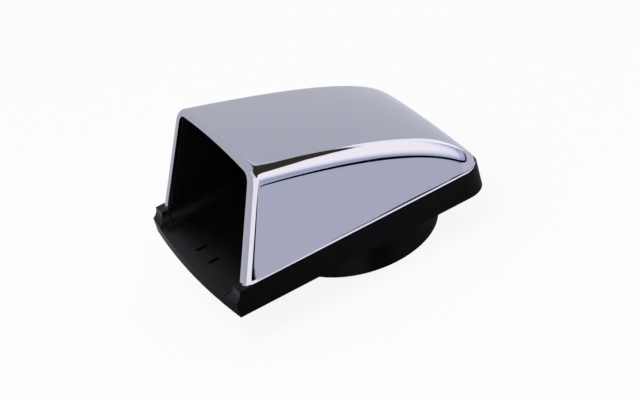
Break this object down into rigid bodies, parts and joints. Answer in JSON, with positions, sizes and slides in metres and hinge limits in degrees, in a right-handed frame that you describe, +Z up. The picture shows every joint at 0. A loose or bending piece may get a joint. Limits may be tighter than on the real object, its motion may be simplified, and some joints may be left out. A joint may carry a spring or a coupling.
{
  "type": "cowl vent",
  "caption": "Low-profile marine cowl vent: chrome scoop hood with an open raked mouth over a black deck base with a round hose collar below.",
  "frame": {"origin": "on the hose collar's axis, in the plane of the deck face", "axes": "+Z up out of the deck along the collar's axis; the open mouth faces -Y; +X across the vent, which is symmetric about x = 0"},
  "size_m": [0.123, 0.1749, 0.1035],
  "materials": {
    "chrome": "bright polished chrome plate",
    "base_plastic": "satin-gloss black moulded plastic",
    "liner_plastic": "matt black moulded plastic",
    "seal_rubber": "matt black rubber",
    "clip_steel": "stamped spring steel",
    "insert_brass": "turned brass",
    "gasket_foam": "closed-cell foam rubber"
  },
  "bodies": {
    "root": {"base": "base_plastic", "cover": "chrome", "liner": "liner_plastic", "cover_seal": "seal_rubber", "side_clips": "clip_steel", "rear_clips": "clip_steel", "deck_inserts": "insert_brass", "deck_gasket": "gasket_foam"}
  },
  "joints": []
}
